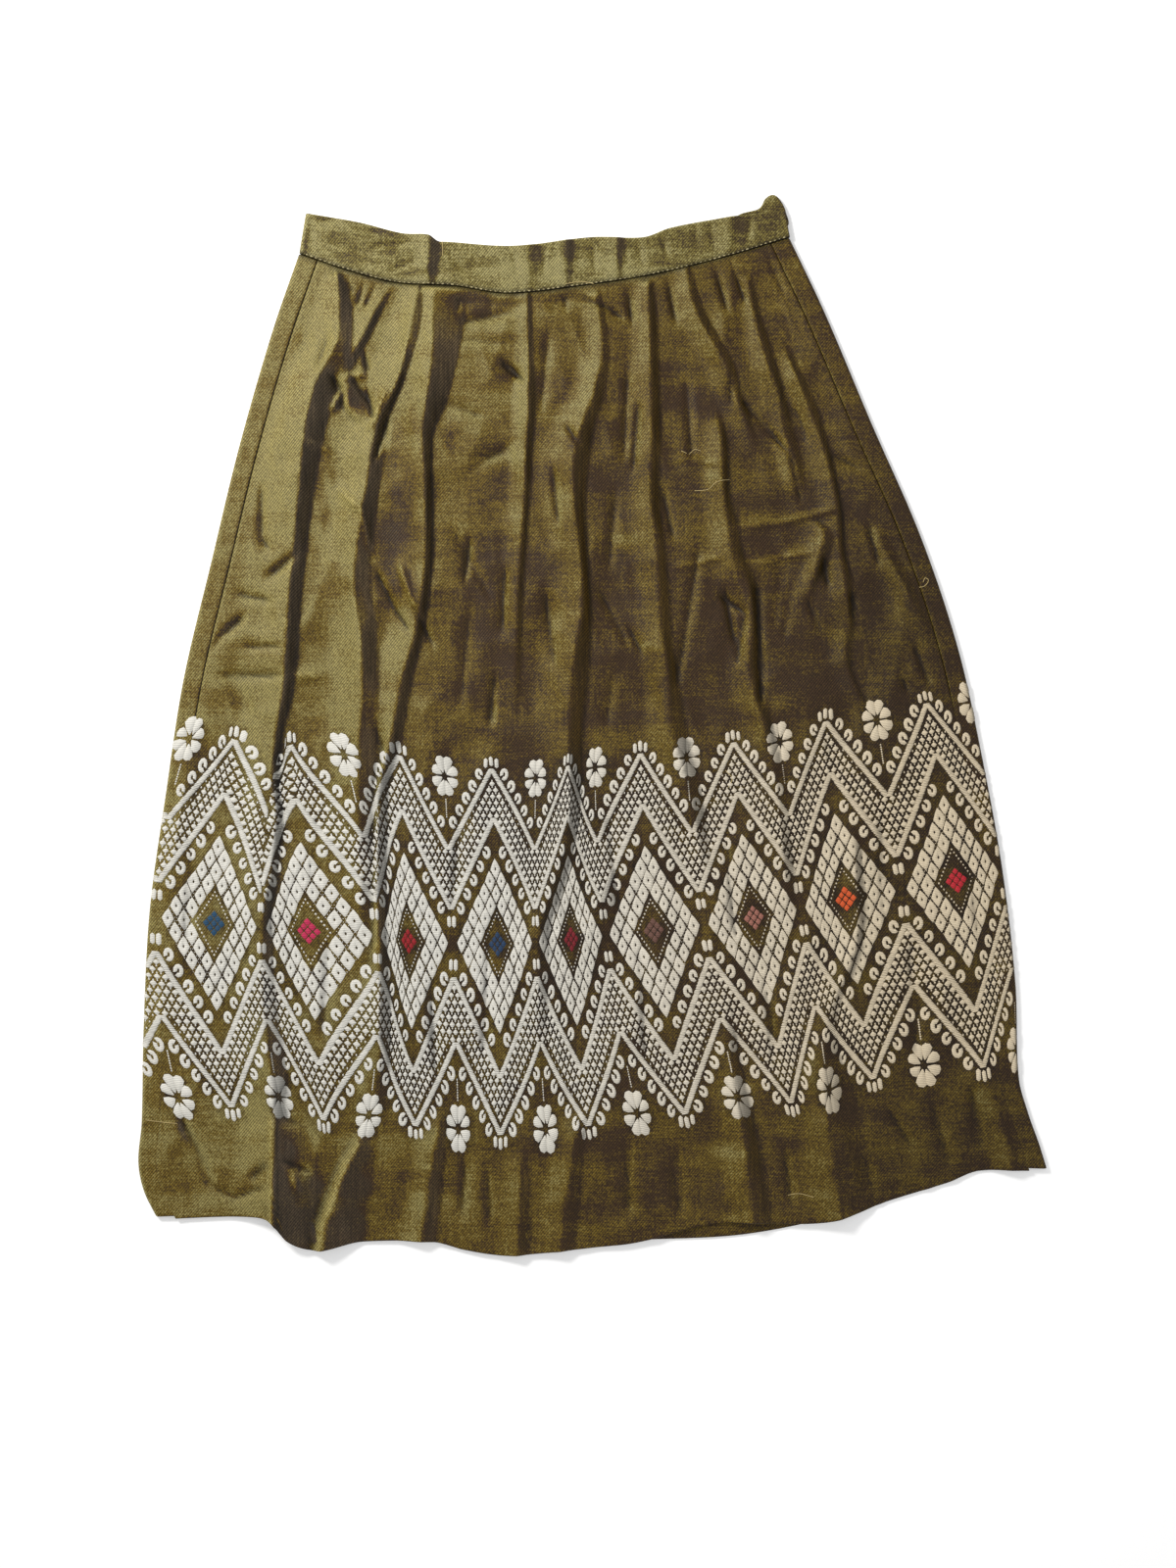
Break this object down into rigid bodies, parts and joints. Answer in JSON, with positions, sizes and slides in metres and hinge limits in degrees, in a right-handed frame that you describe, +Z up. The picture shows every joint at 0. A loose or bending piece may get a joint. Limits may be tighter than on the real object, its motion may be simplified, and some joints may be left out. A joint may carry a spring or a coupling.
{
  "type": "a-line midi skirt",
  "caption": "Pleated a-line midi skirt laid flat, a straight cloth tube set into a narrow waistband, with a broad woven lozenge band above the hem.",
  "frame": {"origin": "on the surface it lies on, below the middle of the whole laid skirt", "axes": "+Z up, out of the front of the skirt; +Y from the hem towards the waistband; +X towards the skirt's right edge as seen from above"},
  "size_m": [0.6804, 0.794, 0.0188],
  "materials": {
    "skirt_cloth": "satin",
    "waistband_cloth": "satin",
    "zip_tape": "matte"
  },
  "bodies": {
    "root": {"front_panel": "skirt_cloth", "back_panel": "skirt_cloth", "waistband": "waistband_cloth", "waistband_tab": "waistband_cloth", "side_zip": "zip_tape"}
  },
  "joints": []
}
